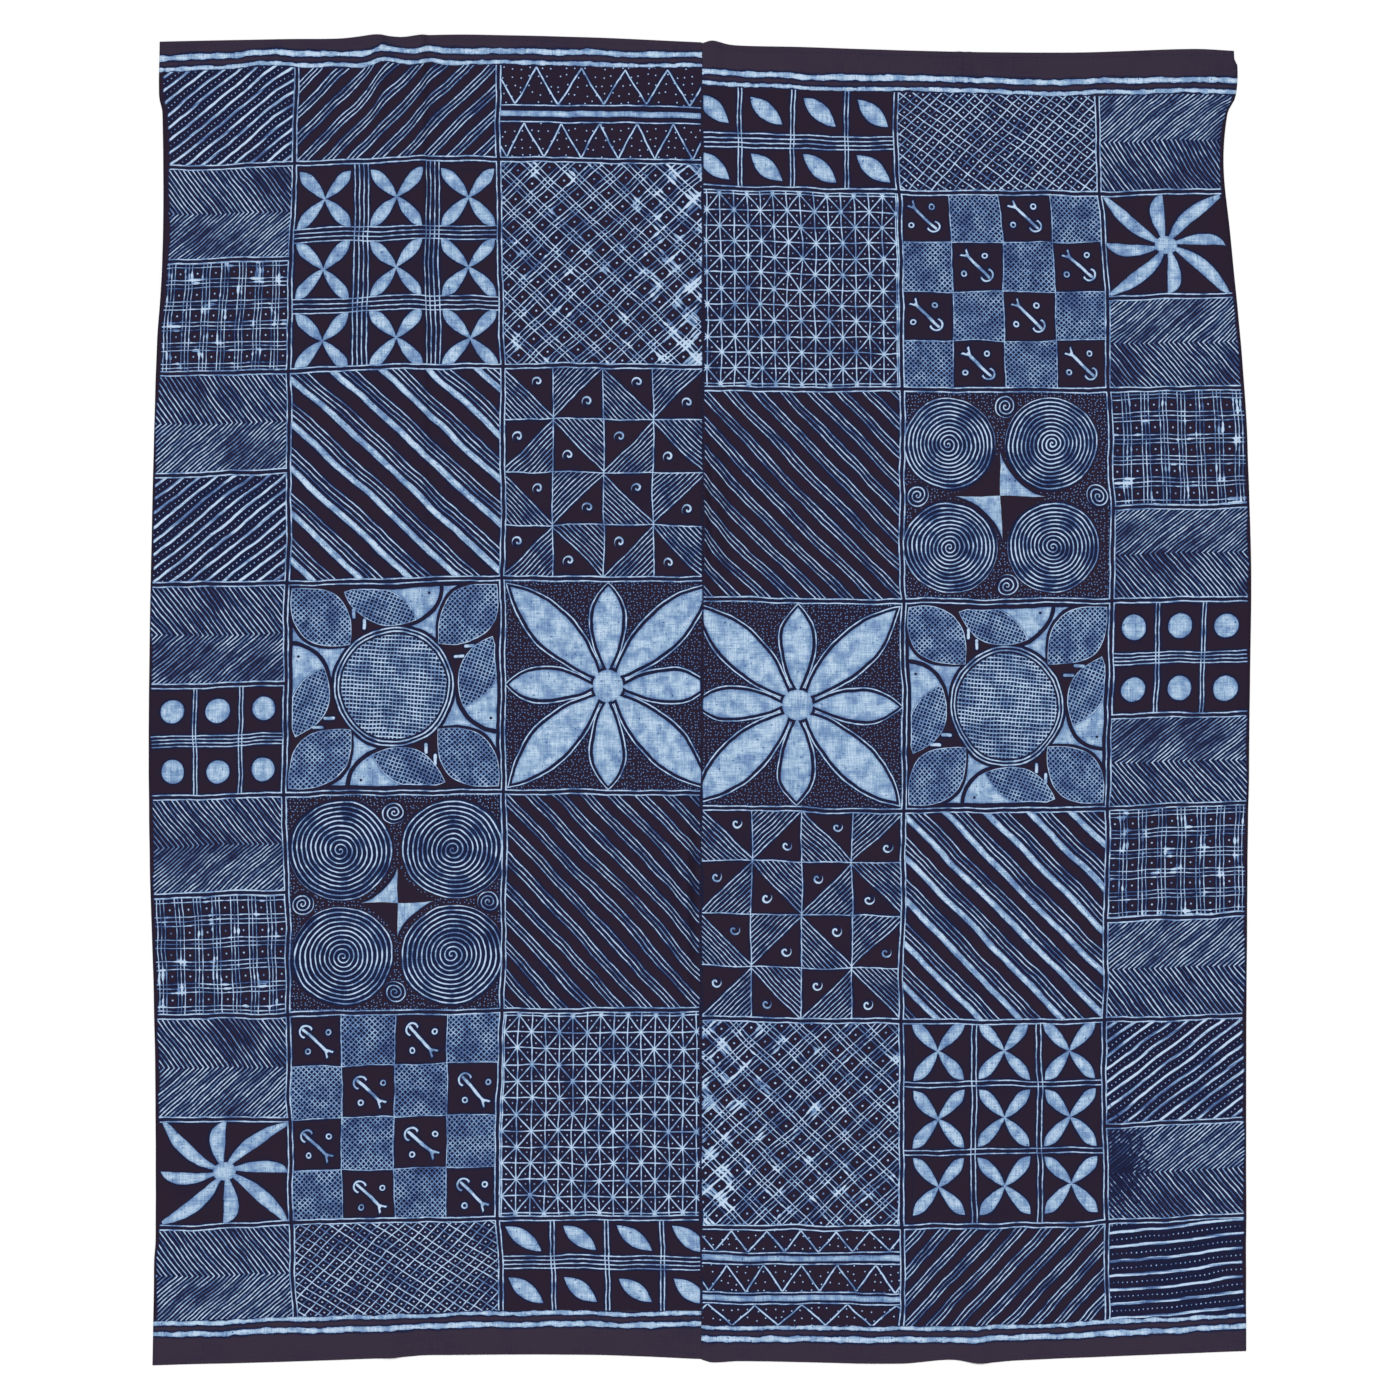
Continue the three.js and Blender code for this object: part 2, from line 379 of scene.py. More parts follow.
def bake_layout(wide, tall, band_of, rim_count):
    """A flat layout with no overlaps: the face in two halves side by side, underside and rim below."""
    across, down = np.meshgrid(np.linspace(0, 1, wide), np.arange(tall, dtype=float))
    split = int(np.searchsorted(band_of, BAKE_SPLIT))
    halves = []
    for left, first, last in ((BAKE_RIM, 0, split), (BAKE_SECOND_HALF, split, tall - 1)):
        below = BAKE_FACE_HEIGHT * (down - first) / (last - first)
        halves.append(np.stack([left + BAKE_HALF_WIDTH * across, BAKE_FACE_TOP - below], axis=2))
    under_x = BAKE_RIM + BAKE_UNDERSIDE_SIZE[0] * down / (tall - 1)
    under = np.stack([under_x, BAKE_RIM + BAKE_UNDERSIDE_SIZE[1] * across], axis=2)
    in_upper = (np.arange(tall - 1) < split)[:, None, None, None]
    face = np.where(in_upper, corner_values(halves[0]), corner_values(halves[1]))
    start = np.linspace(BAKE_RIM, BAKE_EDGES_END, rim_count)
    end = start + BAKE_EDGE_SHARE / rim_count
    low, high = [np.full(rim_count, height) for height in BAKE_EDGES_HEIGHT]
    rim = np.stack([start, low, end, low, end, high, start, high], axis=1)
    backwards = corner_values(under).reshape(-1, 4, 2)[:, ::-1]
    return np.concatenate([face.reshape(-1), backwards.reshape(-1), rim.reshape(-1)])


def sheet_mesh(panel):
    """The closed sheet of one panel: painted face, underside and the thin rim that joins them."""
    upright, cross = panel_lines(panel)
    x, y, strip_of, band_of = mesh_places(panel, upright, cross)
    tall, wide = x.shape
    face_points = np.stack([x, y, top_height(panel, x, y)], axis=2).reshape(-1, 3)
    under_points = np.stack([x, y, underside_height(panel, x, y)], axis=2).reshape(-1, 3)
    points = np.concatenate([face_points, under_points]) * MM
    number = np.arange(tall * wide).reshape(tall, wide)
    face_quads = corner_values(number).reshape(-1, 4)
    under_quads = (face_quads + tall * wide)[:, ::-1]
    loop = np.concatenate([number[-1, :-1], number[:0:-1, -1], number[0, :0:-1], number[:-1, 0]])
    loop_next = np.roll(loop, -1)
    rim_quads = np.stack([loop + tall * wide, loop_next + tall * wide, loop_next, loop], axis=1)
    quads = np.concatenate([face_quads, under_quads, rim_quads])
    mesh = bpy.data.meshes.new(panel["name"] + "_cloth")
    mesh.from_pydata(points.tolist(), [], quads.tolist())

    motif_names, motif_numbers, places = paint_layout(panel, cross, x, y, strip_of, band_of)
    for name in motif_names:
        mesh.materials.append(dyed_cotton(name))
    plain = np.full(len(under_quads) + len(rim_quads), motif_names.index("underside"))
    mesh.polygons.foreach_set("material_index", np.concatenate([motif_numbers.ravel(), plain]))
    smooth = np.ones(len(quads), bool)
    smooth[len(face_quads) + len(under_quads):] = False
    mesh.polygons.foreach_set("use_smooth", smooth)
    square_map = mesh.uv_layers.new(name="Square")
    square_map.data.foreach_set("uv", np.concatenate([places.reshape(-1), np.zeros(plain.size * 8)]))
    flat_map = mesh.uv_layers.new(name="OFBake")
    flat_map.data.foreach_set("uv", bake_layout(wide, tall, band_of, len(rim_quads)))
    mesh.update()
    return mesh


# The painting. Cassava starch is laid on by hand before the cloth is dyed, and where it kept the
# indigo out the cotton stays pale. Strokes soak at their sides, broad shapes are mottled,
# and the bare ground between them is a blue so deep that it reads as plum.
GROUND_PLUM = (40, 30, 45)
MARGIN_PLUM = (54, 45, 60)
SOAKED_NAVY = (20, 27, 56)
DULL_BLUE = (40, 56, 97)
MID_BLUE = (73, 97, 143)
SKY_BLUE = (112, 142, 182)
PALE_BLUE = (148, 175, 204)
STARCH_WHITE = (189, 209, 230)
DYE_TONES = [
    (0.17, SOAKED_NAVY), (0.32, DULL_BLUE), (0.5, MID_BLUE), (0.7, SKY_BLUE), (0.85, PALE_BLUE),
    (1.0, STARCH_WHITE),
]
STROKE_EDGE = 0.55
DOT_EDGE = 0.7
FINE_DOT_EDGE = 0.6
SOAK_REACH = 4.4
SOAK_LEVEL = 0.17
SOAKED_GROUND = 0.12
WANDER_PERIOD = 90.0
WANDER_REACH = 9.0
RAGGED_PERIOD = 9.0
RAGGED_REACH = 1.0
FADE_PERIOD = 30.0
FADE_RANGE = (0.32, 0.54, 0.6, 1.0)
EVEN_FADE = 0.4
STREAK_LENGTH = 75.0
STREAK_WIDTH = 6.0
STREAK_RANGE = (0.33, 0.57, 0.5, 1.06)
DYE_PERIOD = 90.0
MOTTLE_PERIOD = 20.0
MOTTLE_RANGE = (0.33, 0.58, 0.7, 0.9)
SPECK_PERIOD = 4.4
SPECK_RANGE = (0.66, 0.8, 1.0, 0.5)
RIM_RANGE = (0.0, 5.0, 0.84, 1.0)
BLOTCH_PERIOD = 34.0
BLOTCH_RANGE = (0.36, 0.62)
NET_BLOTCHES = 0.16
NET_LEVEL = 0.72


class Field:
    """A number that varies over the cloth: a shader socket on which arithmetic adds Math nodes."""

    def __init__(self, tree, socket=None):
        self.tree = tree
        self.socket = socket

    def node(self, kind, settings, sockets, output=0):
        """A node of any kind: its settings first, then its sockets' values or links."""
        made = self.tree.nodes.new(kind)
        for name, setting in settings.items():
            if name == "stops":
                while len(made.color_ramp.elements) < len(setting):
                    made.color_ramp.elements.new(1.0)
                for element, (position, colour) in zip(made.color_ramp.elements, setting):
                    element.position = position
                    element.color = colour
            else:
                setattr(made, name, setting)
        for key, given in sockets.items():
            if isinstance(given, Field):
                self.tree.links.new(given.socket, made.inputs[key])
            else:
                made.inputs[key].default_value = given
        return Field(self.tree, made.outputs[output] if made.outputs else None)

    def math(self, operation, *values):
        return self.node("ShaderNodeMath", {"operation": operation}, dict(enumerate(values)))

    def __add__(self, other):
        return self.math("ADD", self, other)

    def __radd__(self, other):
        return self.math("ADD", other, self)

    def __sub__(self, other):
        return self.math("SUBTRACT", self, other)

    def __rsub__(self, other):
        return self.math("SUBTRACT", other, self)

    def __mul__(self, other):
        return self.math("MULTIPLY", self, other)

    def __rmul__(self, other):
        return self.math("MULTIPLY", other, self)

    def __truediv__(self, other):
        return self.math("DIVIDE", self, other)

    def __rtruediv__(self, other):
        return self.math("DIVIDE", other, self)

    def __neg__(self):
        return self.math("MULTIPLY", self, -1.0)

    def __abs__(self):
        return self.math("ABSOLUTE", self)

    def least(self, *others):
        result = self
        for other in others:
            result = self.math("MINIMUM", result, other)
        return result

    def most(self, *others):
        result = self
        for other in others:
            result = self.math("MAXIMUM", result, other)
        return result

    def fold(self, pitch):
        """Distance to the nearest of evenly spaced lines."""
        return self.math("PINGPONG", self, pitch / 2)

    def wrap(self, size):
        """The value carried back into the range from zero to the size."""
        return self.math("WRAP", self, size, 0.0)

    def power(self, exponent):
        return self.math("POWER", self, exponent)

    def reach(self, other):
        """Straight distance that two distances at right angles make."""
        return self.math("SQRT", self * self + other * other)

    def spread(self, low, high, start=0.0, end=1.0):
        """The value carried from one range to another, and held at its ends."""
        sockets = {0: self, 1: low, 2: high, 3: start, 4: end}
        return self.node("ShaderNodeMapRange", {}, sockets)

    def above(self, limit):
        return self.math("GREATER_THAN", self, limit)

    def choose(self, no, yes):
        """One of two values, by a field that is 0 or 1."""
        return self.node("ShaderNodeMix", {"data_type": "FLOAT"}, {0: self, 2: no, 3: yes})


def linear(colour):
    """A colour given as it looks, 0 to 255, as linear light."""
    parts = [part / 255 for part in colour]
    light = [part / 12.92 if part <= 0.04045 else ((part + 0.055) / 1.055) ** 2.4 for part in parts]
    return (*light, 1.0)


def along_and_across(x, y, degrees):
    """Distances along and across a direction turned anticlockwise by so many degrees."""
    turn = math.radians(degrees)
    return x * math.cos(turn) + y * math.sin(turn), y * math.cos(turn) - x * math.sin(turn)


class Square:
    """One painted square: where a point lies in it, and how unevenly the starch went on there."""

    def __init__(self, tree, width, height):
        self.paint = Field(tree)
        self.width = width
        self.height = height
        self.place = self.paint.node("ShaderNodeTexCoord", {}, {}, "Object")
        mapped = self.paint.node("ShaderNodeUVMap", {"uv_map": "Square"}, {})
        across = self.paint.node("ShaderNodeSeparateXYZ", {}, {0: mapped})
        upward = Field(tree, across.socket.node.outputs[1])
        wander = self.noise(WANDER_PERIOD, 3.0, "Color")
        drift = self.paint.node("ShaderNodeSeparateColor", {}, {0: wander})
        drift_up = Field(tree, drift.socket.node.outputs[1])
        self.u = across + (drift - 0.5) * WANDER_REACH
        self.v = upward + (drift_up - 0.5) * WANDER_REACH
        self.ragged = (self.noise(RAGGED_PERIOD, 2.0) - 0.5) * RAGGED_REACH
        self.fade = self.noise(FADE_PERIOD, 4.0).spread(*FADE_RANGE)
        self.dye = self.noise(DYE_PERIOD, 4.0)

    def noise_at(self, place, scale, detail, output="Fac"):
        sockets = {"Vector": place, "Scale": scale, "Detail": detail}
        return self.paint.node("ShaderNodeTexNoise", {"noise_dimensions": "2D"}, sockets, output)

    def noise(self, period, detail, output="Fac"):
        return self.noise_at(self.place, 1.0 / (period * MM), detail, output)

    def vector(self, operation, *values, output=0):
        sockets = dict(enumerate(values))
        return self.paint.node("ShaderNodeVectorMath", {"operation": operation}, sockets, output)

    def even_fade(self):
        """A fading of the starch that is less than in other lines."""
        return self.fade * EVEN_FADE + (1.0 - EVEN_FADE)

    def run_together(self, period, low, high, reach, more=0.0):
        """How much wider lines are in the patches where the starch ran together."""
        return (self.noise(period, 2.0) + more).spread(low, high, 0.0, reach)

    def streaks(self, degrees):
        """Long brush streaks that run in a direction turned anticlockwise by so many degrees."""
        stretch = {
            "Vector": self.place,
            "Rotation": (0.0, 0.0, math.radians(degrees)),
            "Scale": (STREAK_LENGTH * MM, STREAK_WIDTH * MM, 1.0),
        }
        stretched = self.paint.node("ShaderNodeMapping", {"vector_type": "TEXTURE"}, stretch)
        return self.noise_at(stretched, 1.0, 2.0).spread(*STREAK_RANGE)

    def blotches(self, depth):
        """Where fine lines took more dye in some patches than in others, round one."""
        return self.noise(BLOTCH_PERIOD, 5.0).spread(*BLOTCH_RANGE, 1.0 - depth, 1.0 + depth)

    def stroke(self, distance, thickness, fade=None):
        """A thin starched line: pale in its middle, soaking to navy and then to bare ground."""
        half = thickness / 2
        rough = distance + self.ragged
        line = rough.spread(half + STROKE_EDGE, half - STROKE_EDGE) * (fade or self.fade)
        return line.most(distance.spread(half + SOAK_REACH, half, 0.0, SOAK_LEVEL))

    def dot(self, across, along, size):
        return across.reach(along).spread(size / 2 + DOT_EDGE, size / 2 - DOT_EDGE) * self.fade

    def scatter(self, spacing=5.0, size=1.9, evenness=0.3):
        """Fine hand-set dots, some way apart."""
        settings = {"voronoi_dimensions": "2D"}
        sockets = {"Vector": self.place, "Scale": 1.0 / (spacing * MM), "Randomness": 1.0 - evenness}
        distance = self.paint.node("ShaderNodeTexVoronoi", settings, sockets) * spacing
        return distance.spread(size / 2 + FINE_DOT_EDGE, size / 2 - FINE_DOT_EDGE)

    def fill(self, depth):
        """A broad starched shape, given the depth inside its outline, with its mottling."""
        rough = depth - self.ragged
        patches = self.noise(MOTTLE_PERIOD, 6.0).spread(*MOTTLE_RANGE)
        specks = self.noise(SPECK_PERIOD, 2.0).spread(*SPECK_RANGE)
        thinner_rim = depth.spread(*RIM_RANGE)
        shape = rough.spread(-STROKE_EDGE, STROKE_EDGE) * patches * specks * thinner_rim
        return shape.most(depth.spread(-SOAK_REACH, 0.0, 0.0, SOAK_LEVEL))

    def net(self, x, y, pitch, thickness):
        """Fine cross-hatching."""
        lines = self.stroke(x.fold(pitch).least(y.fold(pitch)), thickness, self.even_fade())
        return (lines * self.blotches(NET_BLOTCHES) * NET_LEVEL).most(SOAK_LEVEL)

    def turned(self, degrees):
        return along_and_across(self.u, self.v, degrees)

    def checks(self, wide, tall):
        x = self.u.wrap(wide) - wide / 2
        y = self.v.wrap(tall) - tall / 2
        column = self.u.wrap(2 * wide).above(wide)
        row = self.v.wrap(2 * tall).above(tall)
        return x, y, column, row, (wide / 2 - abs(x)).least(tall / 2 - abs(y))

    def quarter(self):
        """Place in the top quarter of a square whose four sides are alike, turned round its middle."""
        beside = self.paint.math("GREATER_THAN", abs(self.u), abs(self.v))
        a = beside.choose(self.u, -self.v)
        b = beside.choose(self.v, self.u)
        sign = b.above(0.0) * 2.0 - 1.0
        return a * sign, b * sign


def triple(distance, spacing):
    """Distance to the nearest of three lines: one at zero and one each side of it."""
    return distance.least(abs(distance - spacing))


def doubled(distance, apart):
    """Distance to the nearer of two lines, one each side of zero."""
    return abs(abs(distance) - apart)


def short_bar(across, along, half_length):
    """Distance to a short straight line whose middle is at zero."""
    return across.reach((abs(along) - half_length).most(0.0))


def petal(along, off, belly, beyond, before, half_width):
    """Depth inside a petal: widest at its belly, and pointed so far beyond and so far before it."""
    swell = ((along - belly) / beyond).most((belly - along) / before)
    return half_width * (1.0 - swell * swell) - abs(off)


SPLASH_PLACE = (0.626, -0.694, 0.0)
SPLASH_SHRINK = (24.0, 17.0, 0.0)
SPLASH_PERIOD = 9.0
SPLASH_RAGGED = 3.2
SPLASH_RANGE = (0.66, 1.1, 0.36, 1.0)


def spilt_dye(square):
    """Where a splash of dye has run over the starch, by the outer edge of the right length."""
    offset = square.vector("SUBTRACT", square.place, SPLASH_PLACE)
    shrunk = square.vector("MULTIPLY", offset, SPLASH_SHRINK)
    ragged = (square.noise(SPLASH_PERIOD, 4.0) - 0.5) * SPLASH_RAGGED
    return (square.vector("LENGTH", shrunk, output="Value") + ragged).spread(*SPLASH_RANGE)


def dotted_diagonals(square, slope=36.5, pitch=15.7, line=3.9, dot_pitch=7.0, dot=2.0):
    along, across = square.turned(slope)
    gap = across.fold(pitch)
    dots = square.dot(pitch / 2 - gap, along.fold(dot_pitch), dot)
    lines = square.stroke(gap, line, square.streaks(slope))
    return (lines.most(dots) * spilt_dye(square)).most(SOAKED_GROUND)


def herringbone(square, pitch=7.7, upper_slope=51.0, lower_slope=39.0, line=1.76):
    """Slanted hatching in two halves that meet in points, with darker patches."""
    upper = math.radians(upper_slope)
    lower = math.radians(lower_slope)
    slide = (square.v / math.tan(upper)).most(square.v / -math.tan(lower))
    steepness = square.v.spread(-1.0, 1.0, math.sin(lower), math.sin(upper))
    gap = (square.u + slide).fold(pitch) * steepness
    patches = square.dye.spread(0.36, 0.5, 0.68, 1.0)
    streaks = square.v.above(0.0).choose(square.streaks(lower_slope), square.streaks(-upper_slope))
    return (square.stroke(gap, line, streaks) * patches * spilt_dye(square)).most(SOAKED_GROUND)


def plaid(square, pitch=(28.3, 31.5), shift=(7.1, 13.7), spacing=(5.5, 5.9), line=1.3, dot=2.8):
    """Three-line bands both ways with a dot in each gap; here and there the starch ran together."""
    down = (square.u + shift[0]).fold(pitch[0])
    across = (square.v + shift[1]).fold(pitch[1])
    run = square.run_together(period=24.0, low=0.6, high=0.74, reach=1.7)
    uprights = square.stroke(triple(down, spacing[0]) - run, line, square.streaks(90.0))
    bars = square.stroke(triple(across, spacing[1]) - run, line, square.streaks(0.0))
    return uprights.most(bars, square.dot(pitch[0] / 2 - down, pitch[1] / 2 - across, dot))


def discs(square, spacing=69.0, row_offset=46.0, radius=18.0,
          upright_gap=2.4, bar_gaps=(5.4, 2.7), line=1.8):
    """Three by two pale discs, with two lines between the columns and four between the rows."""
    from_middle = square.u.fold(spacing).reach(doubled(square.v, row_offset))
    uprights = doubled(abs(square.u) - spacing / 2, upright_gap)
    bars = doubled(abs(square.v) - bar_gaps[0], bar_gaps[1])
    return square.fill(radius - from_middle).most(square.stroke(uprights.least(bars), line))


def twisted_flower(square, belly=18.5, heart=14.0, turn=3.0, margin=3.0, lateness=1.7, fullness=0.64):
    """Eight blades, each with one straight and one swelling side, that widen towards the frame."""
    x = square.u * (square.height / square.width)
    radius = x.reach(square.v)
    angle = square.paint.math("ARCTAN2", square.v, x) + math.radians(turn)
    arc = angle.wrap(math.pi / 4) * radius - 1.0
    late = (abs(x).most(abs(square.v)) / (square.height / 2 - margin)).power(lateness)
    swell = 4.0 * late * (1.0 - late).most(0.0)
    blades = arc.least(belly * swell.power(fullness) - arc)
    return square.fill(blades.most(heart - radius))


def triple_diagonals(square, slope, pitch, spacing, line):
    gap = square.turned(slope)[1].fold(pitch)
    return square.stroke(triple(gap, spacing), line, square.streaks(slope))


def zigzag(square, rows, line=2.4, band=4.2, band_line=1.9):
    """Rows of zigzags with scattered dots, and a pale band with thin lines between the rows.

    Each row gives its middle, its height, the width of one zigzag and how far it is shifted.
    """
    result = square.scatter(spacing=13.5, size=2.3, evenness=0.45)
    for middle, height, period, shift in rows:
        off_row = square.v - middle
        swing = ((square.u + shift).fold(period) * (2 / period) - 0.5) * height
        gap = abs(off_row - swing) / math.hypot(1.0, 2 * height / period)
        in_row = abs(off_row).spread(height / 2 + 1.5, height / 2)
        result = result.most(square.stroke(gap, line) * in_row)
    for upper, lower in zip(rows, rows[1:]):
        top = upper[0] - upper[1] / 2
        bottom = lower[0] + lower[1] / 2
        half = (top - bottom) / 2
        off_band = abs(square.v - (top + bottom) / 2)
        result = result * off_band.spread(half - 1.0, half + 1.0)
        lines = square.stroke(abs(off_band - half + 1.5), band_line)
        result = result.most(square.fill(band - off_band), lines)
    return result


def four_petals(square, block, petals_at, bands_at, band, narrowing=1.09, apart=3.4, line=1.8):
    """Three by three crosses of blunt petals, with bands of lines between the blocks."""
    x = (square.u - petals_at[0]).fold(block[0]) * narrowing
    y = (square.v - petals_at[1]).fold(block[1])
    along, off = along_and_across(x, y, 45.0)
    result = square.fill(petal(along, off, belly=40.0, beyond=21.0, before=42.0, half_width=9.8))
    sides = ((square.u, square.width / 2), (square.v, square.height / 2))
    for (whole, limit), start, size in zip(sides, bands_at, block):
        edge = size / 2 - (whole - start).fold(size)
        gap = doubled(edge - band, apart) if band else abs(edge - apart)
        inner = abs(whole).spread(limit - 15.0, limit - 18.0)
        result = result.most(square.stroke(gap, line) * inner)
    return result


def diagonal_lattice(square, bands=((43.0, 28.3, 6.0), (-44.0, 34.0, 6.2)), line=1.6, dot=3.2):
    """Three-line bands crossing on both diagonals; the starch ran together beside the seam.

    Each way gives its slope, its pitch and the spacing of its lines.
    """
    near_seam = square.u.spread(40.0, 150.0, 0.0, 0.2)
    run = square.run_together(period=26.0, low=0.62, high=0.8, reach=1.8, more=near_seam)
    lines = []
    from_middle = []
    for slope, pitch, spacing in bands:
        gap = square.turned(slope)[1].fold(pitch)
        lines.append(square.stroke(triple(gap, spacing) - run, line, square.streaks(slope)))
        from_middle.append(pitch / 2 - gap)
    return lines[0].most(lines[1], square.dot(*from_middle, dot))


def broad_diagonals(square, slope, repeat, side, bar=4.4, lines_at=(9.9, 15.9, 22.4), line=1.7):
    """Broad pale bars with three thin lines along one side, slanting down to the right."""
    before_bar = 10.0
    beyond = (square.turned(slope)[1] * side + before_bar).wrap(repeat) - before_bar
    first, *others = [abs(beyond - place) for place in lines_at]
    streaks = square.streaks(slope)
    bars = square.fill(bar - abs(beyond)) * (streaks * 0.4 + 0.74)
    return bars.most(square.stroke(first.least(*others), line, streaks))


def spiral(square, x, y, pitch, thickness):
    """A spiral stroke and the distance from its middle."""
    radius = x.reach(y)
    angle = square.paint.math("ARCTAN2", y, x)
    gap = (radius - angle * (pitch / (2 * math.pi))).fold(pitch)
    return square.stroke(gap, thickness), radius


def pinwheels(square, count=4, hatch_pitch=5.6, hatch_line=1.5, line=1.8, curl_share=0.19, curl_size=9.0):
    """Squares cut on the diagonal: one half hatched, a small curl in the other."""
    wide = square.width / count
    tall = square.height / count
    x, y, column, row, edge = square.checks(wide, tall)
    column_sign = 1.0 - 2.0 * column
    row_sign = 2.0 * row - 1.0
    slant = along_and_across(row_sign * x, column_sign * y, 45.0)[0]
    hatch = square.stroke(slant.fold(hatch_pitch), hatch_line) * slant.spread(1.2, 0.2)
    lines = square.stroke(edge.least(abs(slant)), line)
    crossing = square.u.fold(wide).reach(square.v.fold(tall)) + slant.fold(wide * math.sqrt(2.0)) * 1.5
    curl_x = row_sign * (wide * curl_share) - x
    curl_y = column_sign * (tall * curl_share) - y
    curl, curl_radius = spiral(square, curl_x, curl_y, pitch=9.0, thickness=3.1)
    curl = curl * curl_radius.spread(curl_size, curl_size - 0.8)
    return hatch.most(lines, square.fill(4.6 - crossing), curl)


SPIRAL_LINE = 2.0
SPIRAL_BLOTCHES = 0.3
SPIRAL_DOTS = 0.72
SMALL_SPIRAL = 16.5
SMALL_SPIRAL_OFFSET = 134.0
SMALL_SPIRAL_PITCH = 6.2
STAR_BOW = 2 / 3
STAR_STEEPNESS = 3.0
STAR_CLEARANCE = 3.0


def spirals(square, shift, offset, large, pitch, star_reach, side):
    """Four large spirals, four small ones between them, and a four-pointed star in the middle."""
    u = square.u - shift
    turns, radius = spiral(square, abs(u) - offset, abs(square.v) - offset, pitch, SPIRAL_LINE)
    a, b = square.quarter()
    small_middle = b - SMALL_SPIRAL_OFFSET
    small_turns, small_radius = spiral(square, a, small_middle, SMALL_SPIRAL_PITCH, SPIRAL_LINE)
    bow = abs(u).power(STAR_BOW) + abs(square.v).power(STAR_BOW)
    star_depth = (star_reach ** STAR_BOW - bow) * STAR_STEEPNESS
    pale_half = (u * square.v * side).above(0.0)
    bare = (radius - large).least(small_radius - SMALL_SPIRAL, -STAR_CLEARANCE - star_depth)
    dots = square.scatter() * SPIRAL_DOTS * bare.spread(1.5, 3.0)
    blotched = (turns * square.blotches(SPIRAL_BLOTCHES)).most(SOAK_LEVEL)
    rings = blotched * radius.spread(large + 1.0, large)
    small_rings = small_turns * small_radius.spread(SMALL_SPIRAL + 1.0, SMALL_SPIRAL)
    return rings.most(small_rings, square.fill(star_depth) * pale_half, dots)


def hatched_leaf(square, along, off, depth):
    """A cross-hatched leaf or wing inside its outline."""
    hatch = square.net(along, off, pitch=5.3, thickness=1.9)
    return hatch.most(square.stroke(abs(depth - 0.9), 1.7)) * depth.spread(-0.6, 0.6)


SUN_SQUEEZE = (1.035, 0.985)
SUN_TURN = -5.0
SUN_RADIUS = 78.0
SUN_RINGS = (84.2, 2.7)
FRAME_CLEARANCE = 11.0
WING_PLACE = (-21.0, 120.5)
WING_TURN = -22.0
BREAST_PLACE = (7.5, 151.0)
BREAST_REACH = 57.0
WEDGE_GAPS = (6.0, 4.8, 8.0)
BODY_FROM_SUN = 92.5
EYE_PLACE = (48.0, 138.0)
LEG_PLACES = [(-59.0, 109.0), (-45.0, 93.0)]
LEG_HALF = 6.0


def distance_from(place, x, y):
    """Straight distance from a place."""
    return (x - place[0]).reach(y - place[1])


def sunflower_and_birds(square):
    """A cross-hatched disc in rings, a leaf to each corner and a bird's body over each side."""
    radius = (square.u * SUN_SQUEEZE[0]).reach(square.v * SUN_SQUEEZE[1])
    sun_along, sun_across = square.turned(SUN_TURN)
    cross_lines = square.stroke(sun_across.fold(5.8), 2.1, square.even_fade()) * 0.94
    uprights = square.stroke(sun_along.fold(5.2), 1.7, square.even_fade()) * 0.76
    hatch = (cross_lines.most(uprights) * square.blotches(NET_BLOTCHES)).most(SOAK_LEVEL)
    sun = hatch * radius.spread(SUN_RADIUS, SUN_RADIUS - 1.0)
    rings = square.stroke(doubled(radius - SUN_RINGS[0], SUN_RINGS[1]), 2.3)

    a, b = square.quarter()
    below_frame = square.height / 2 - FRAME_CLEARANCE - b
    along, off = along_and_across(abs(a), b, 45.0)
    leaf_depth = petal(along, off, belly=149.5, beyond=61.0, before=61.0, half_width=38.0)
    leaf = hatched_leaf(square, along, off, leaf_depth)
    wing_along, wing_off = along_and_across(a - WING_PLACE[0], b - WING_PLACE[1], WING_TURN)
    wing_whole = petal(wing_along, wing_off, belly=0.0, beyond=57.0, before=57.0, half_width=27.5)
    wing_depth = wing_whole.least(below_frame)
    wing = hatched_leaf(square, wing_along, wing_off, wing_depth)

    from_breast = distance_from(BREAST_PLACE, a, b)
    body = (BREAST_REACH - from_breast).least(wing_off, -wing_depth)
    beyond_breast = from_breast - (BREAST_REACH + WEDGE_GAPS[0])
    wedge = beyond_breast.least(-WEDGE_GAPS[1] - leaf_depth, a - WEDGE_GAPS[2])
    eye = distance_from(EYE_PLACE, a, b)
    pale = square.fill(body.most(wedge).least(below_frame, radius - BODY_FROM_SUN)) * eye.spread(1.4, 2.4)
    first_leg, second_leg = [short_bar(a - x, b - y, LEG_HALF) for x, y in LEG_PLACES]
    legs = square.stroke(first_leg.least(second_leg), 4.6)
    return sun.most(rings, leaf, wing, pale, legs)


def eight_petal_flower(square, shift=8.0, heart=23.0, outline_off=5.4, line=2.1):
    """Eight mottled petals round a small heart, each outlined, on a ground of fine dots."""
    x = abs(square.u - shift)
    y = abs(square.v)
    radius = x.reach(y)
    along, off = along_and_across(x, y, 45.0)
    to_corner = petal(along, off, belly=120.0, beyond=86.0, before=104.0, half_width=27.0)
    to_side = petal(x.most(y), x.least(y), belly=102.0, beyond=47.0, before=82.0, half_width=22.0)
    depth = to_corner.most(to_side)
    petals = square.fill(depth.most(heart - radius))
    outline = square.stroke(abs(depth + outline_off), line) * radius.spread(heart + 3.0, heart + 5.0)
    bare = depth.spread(-7.3, -8.6) * radius.spread(heart + 6.0, heart + 9.0)
    return petals.most(outline, square.scatter() * 0.68 * bare)


